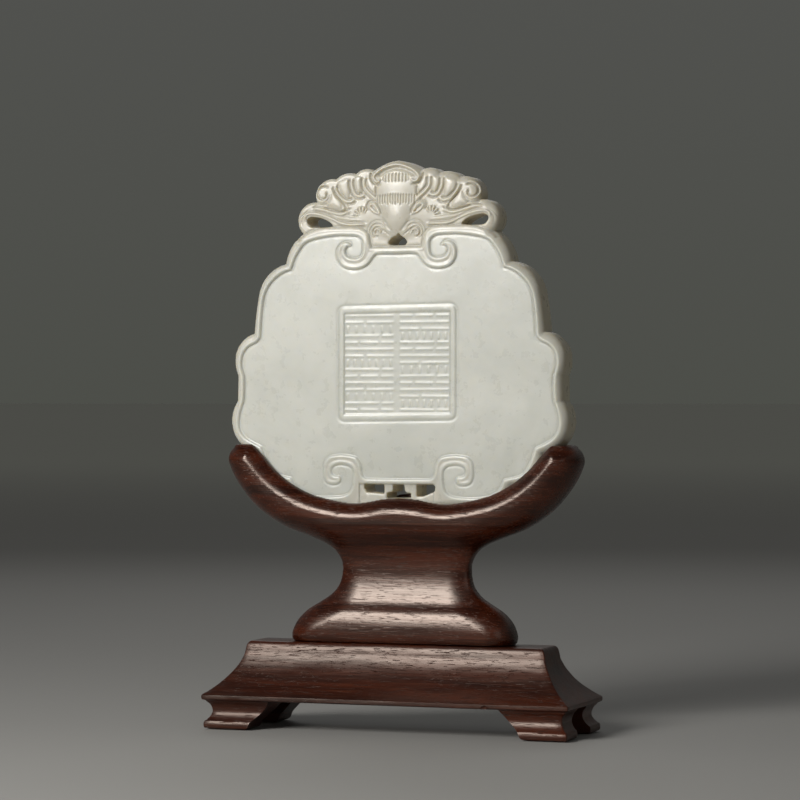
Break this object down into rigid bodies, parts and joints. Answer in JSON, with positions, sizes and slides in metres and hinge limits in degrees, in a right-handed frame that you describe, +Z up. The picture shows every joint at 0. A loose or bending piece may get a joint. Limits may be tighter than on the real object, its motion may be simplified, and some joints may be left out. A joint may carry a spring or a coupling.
{
  "type": "carved jade plaque on wooden stand",
  "caption": "Lobed pale jade plaque with an openwork bat crest, standing in a crescent cradle on a waisted pedestal and footed board.",
  "frame": {"origin": "on the table, under the middle of the footed board", "axes": "+Z up, +X to the right along the plaque's width when its carved front is seen, +Y away from that front"},
  "size_m": [0.08, 0.025, 0.1183],
  "materials": {
    "jade": "polished",
    "rosewood": "semi-gloss"
  },
  "bodies": {
    "root": {"jade_plaque": "jade", "cradle": "rosewood", "base": "rosewood"}
  },
  "joints": []
}
